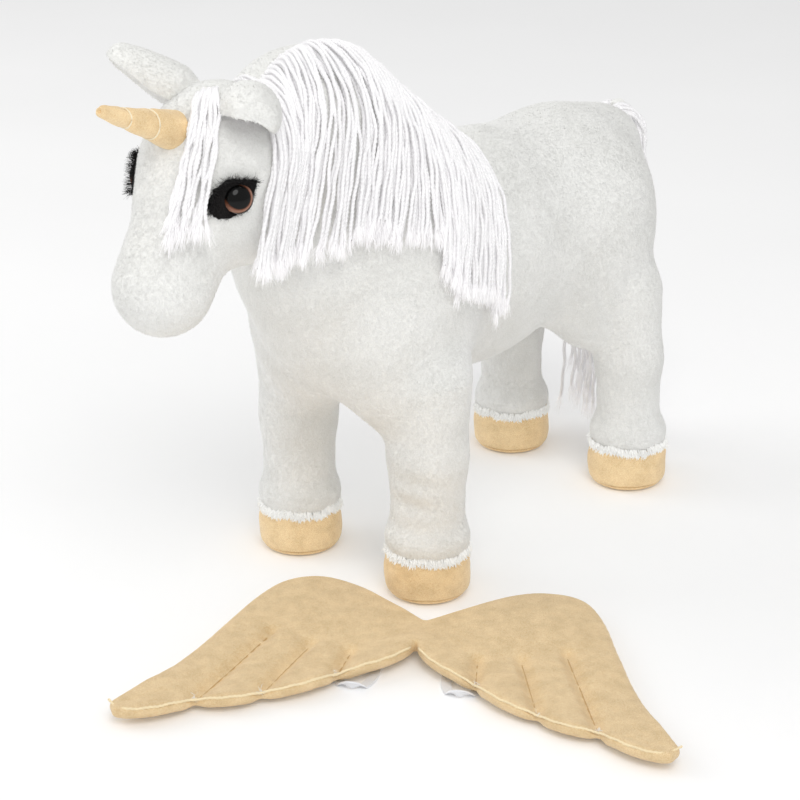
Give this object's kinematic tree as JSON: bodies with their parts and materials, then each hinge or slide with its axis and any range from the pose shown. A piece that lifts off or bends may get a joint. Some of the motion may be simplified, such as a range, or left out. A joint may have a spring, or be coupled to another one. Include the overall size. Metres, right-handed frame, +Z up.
{
  "type": "plush unicorn",
  "caption": "Standing plush unicorn with a padded horn, cord mane and tail, metallic cloth hooves, and a separate pair of quilted padded wings on elastic loops.",
  "frame": {"origin": "on the floor, midway between the four hooves, on the unicorn's plane of symmetry", "axes": "+Z up, -Y the way the unicorn looks, +X its own left side"},
  "size_m": [0.4297, 0.6085, 0.3974],
  "materials": {
    "pile_fabric": "short soft pile",
    "filling": "loose fibre filling",
    "metallic_fabric": "glittering woven metallic cloth",
    "ear_lining": "smooth satin",
    "thread": "twisted thread",
    "washer": "moulded",
    "felt": "pressed felt",
    "eye": "polished dome",
    "yarn": "twisted cotton cord",
    "tape": "woven tape",
    "elastic": "flat woven elastic"
  },
  "bodies": {
    "trunk": {"trunk_cover": "pile_fabric", "trunk_stuffing": "filling", "neck_cover": "pile_fabric", "neck_stuffing": "filling", "mane_tape": "tape"},
    "neck_link": {"neck_wad": "filling"},
    "head": {"head_cover": "pile_fabric", "head_stuffing": "filling", "horn_cover": "metallic_fabric", "horn_stuffing": "filling", "horn_thread": "thread", "eye_left": "eye", "eye_left_washer": "washer", "eye_left_patch": "felt", "eye_left_lashes": "felt", "eye_right": "eye", "eye_right_washer": "washer", "eye_right_patch": "felt", "eye_right_lashes": "felt"},
    "ear_left": {"ear_left_outer": "pile_fabric", "ear_left_lining": "ear_lining"},
    "ear_right": {"ear_right_outer": "pile_fabric", "ear_right_lining": "ear_lining"},
    "forelock": {"forelock_cords": "yarn"},
    "mane": {"mane_cords": "yarn"},
    "tail_base": {"tail_dock": "tape"},
    "tail": {"tail_cords": "yarn"},
    "wings": {"wing_bridge_bottom": "metallic_fabric", "wing_bridge_padding": "filling", "wing_bridge_top": "metallic_fabric"},
    "leg_front_left": {"leg_front_left_cover": "pile_fabric", "leg_front_left_stuffing": "filling", "hoof_front_left_wall": "metallic_fabric", "hoof_front_left_sole": "metallic_fabric", "hoof_front_left_padding": "filling"},
    "leg_front_right": {"leg_front_right_cover": "pile_fabric", "leg_front_right_stuffing": "filling", "hoof_front_right_wall": "metallic_fabric", "hoof_front_right_sole": "metallic_fabric", "hoof_front_right_padding": "filling"},
    "leg_rear_left": {"leg_rear_left_cover": "pile_fabric", "leg_rear_left_stuffing": "filling", "hoof_rear_left_wall": "metallic_fabric", "hoof_rear_left_sole": "metallic_fabric", "hoof_rear_left_padding": "filling"},
    "leg_rear_right": {"leg_rear_right_cover": "pile_fabric", "leg_rear_right_stuffing": "filling", "hoof_rear_right_wall": "metallic_fabric", "hoof_rear_right_sole": "metallic_fabric", "hoof_rear_right_padding": "filling"},
    "wing_left": {"wing_left_bottom": "metallic_fabric", "wing_left_padding": "filling", "wing_left_top": "metallic_fabric", "wing_left_stitching": "thread", "wing_left_strap": "elastic"},
    "wing_right": {"wing_right_bottom": "metallic_fabric", "wing_right_padding": "filling", "wing_right_top": "metallic_fabric", "wing_right_stitching": "thread", "wing_right_strap": "elastic"}
  },
  "joints": [
    {"name": "head_turn", "type": "hinge", "parent": "trunk", "child": "neck_link", "pos_m": [0, -0.248, 0.34], "axis": [0, 0, 1], "range_deg": [-12, 12], "stiffness_Nm_per_rad": 0.6},
    {"name": "head_nod", "type": "hinge", "parent": "neck_link", "child": "head", "pos_m": [0, -0.248, 0.34], "axis": [1, 0, 0], "range_deg": [-10, 10], "stiffness_Nm_per_rad": 1.2},
    {"name": "ear_left_fold", "type": "hinge", "parent": "head", "child": "ear_left", "pos_m": [0.032, -0.264, 0.38], "axis": [0, 1, 0], "range_deg": [-5, 10], "stiffness_Nm_per_rad": 0.01},
    {"name": "ear_right_fold", "type": "hinge", "parent": "head", "child": "ear_right", "pos_m": [-0.032, -0.264, 0.38], "axis": [0, -1, 0], "range_deg": [-5, 10], "stiffness_Nm_per_rad": 0.01},
    {"name": "forelock_lift", "type": "hinge", "parent": "head", "child": "forelock", "pos_m": [0.02175, -0.272, 0.384], "axis": [-1, 0, 0], "range_deg": [0, 20]},
    {"name": "mane_lift", "type": "hinge", "parent": "trunk", "child": "mane", "pos_m": [0.006, -0.136, 0.392], "axis": [0, -0.9023, 0.4311], "range_deg": [0, 15]},
    {"name": "tail_lift", "type": "hinge", "parent": "trunk", "child": "tail_base", "pos_m": [0, 0.1765, 0.286], "axis": [1, 0, 0], "range_deg": [0, 45]},
    {"name": "tail_swing", "type": "hinge", "parent": "tail_base", "child": "tail", "pos_m": [0, 0.1855, 0.284], "axis": [0, 1, 0], "range_deg": [-12, 12]},
    {"name": "wings_slide_away", "type": "slide", "parent": "trunk", "child": "wings", "axis": [0.5151, -0.8571, 0], "range_m": [0, 0.3]},
    {"name": "wing_left_fold", "type": "hinge", "parent": "wings", "child": "wing_left", "pos_m": [0.11886, -0.19088, 0.0125], "axis": [0.5151, -0.8571, 0], "range_deg": [0, 45]},
    {"name": "wing_right_fold", "type": "hinge", "parent": "wings", "child": "wing_right", "pos_m": [0.10514, -0.19912, 0.0125], "axis": [-0.5151, 0.8571, 0], "range_deg": [0, 45]},
    {"name": "leg_front_left_swing", "type": "hinge", "parent": "trunk", "child": "leg_front_left", "pos_m": [0.0615, -0.127, 0.165], "axis": [1, 0, 0], "range_deg": [-4, 10], "stiffness_Nm_per_rad": 3},
    {"name": "leg_front_right_swing", "type": "hinge", "parent": "trunk", "child": "leg_front_right", "pos_m": [-0.0615, -0.127, 0.165], "axis": [1, 0, 0], "range_deg": [-10, 10], "stiffness_Nm_per_rad": 3},
    {"name": "leg_rear_left_swing", "type": "hinge", "parent": "trunk", "child": "leg_rear_left", "pos_m": [0.058, 0.127, 0.165], "axis": [1, 0, 0], "range_deg": [-10, 10], "stiffness_Nm_per_rad": 3},
    {"name": "leg_rear_right_swing", "type": "hinge", "parent": "trunk", "child": "leg_rear_right", "pos_m": [-0.058, 0.127, 0.165], "axis": [1, 0, 0], "range_deg": [-10, 10], "stiffness_Nm_per_rad": 3}
  ]
}
